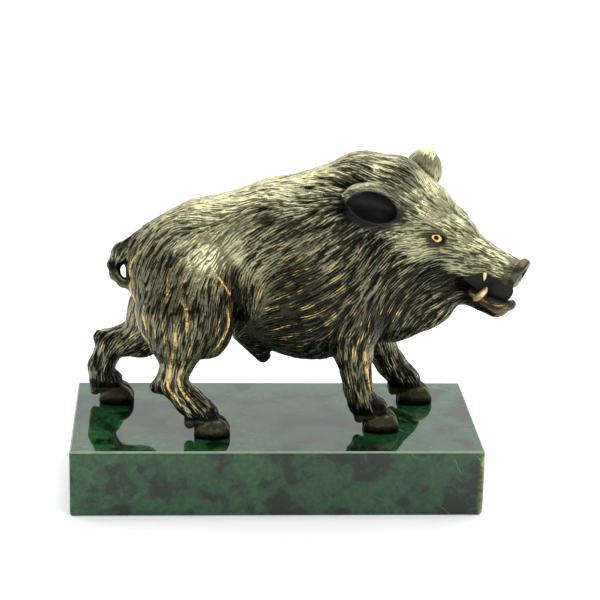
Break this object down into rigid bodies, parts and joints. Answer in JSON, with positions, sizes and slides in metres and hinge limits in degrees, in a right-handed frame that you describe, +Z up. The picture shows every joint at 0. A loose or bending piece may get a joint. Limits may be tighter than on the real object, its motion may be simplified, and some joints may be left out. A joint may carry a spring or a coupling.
{
  "type": "bronze boar sculpture",
  "caption": "Cast bronze wild boar in mid-stride, head turned and mouth open, fur carved all over, on a polished green stone plinth.",
  "frame": {"origin": "centre of the plinth's underside", "axes": "+X along the plinth toward the boar's head, +Y away from the flank the head is turned to, +Z up"},
  "size_m": [0.1648, 0.072, 0.1264],
  "materials": {
    "bronze": "dark olive-brown patina, satin, worn to gold on the ridges of the fur",
    "stone": "polished mottled green stone"
  },
  "bodies": {
    "root": {"bronze_boar": "bronze", "stone_plinth": "stone"}
  },
  "joints": []
}
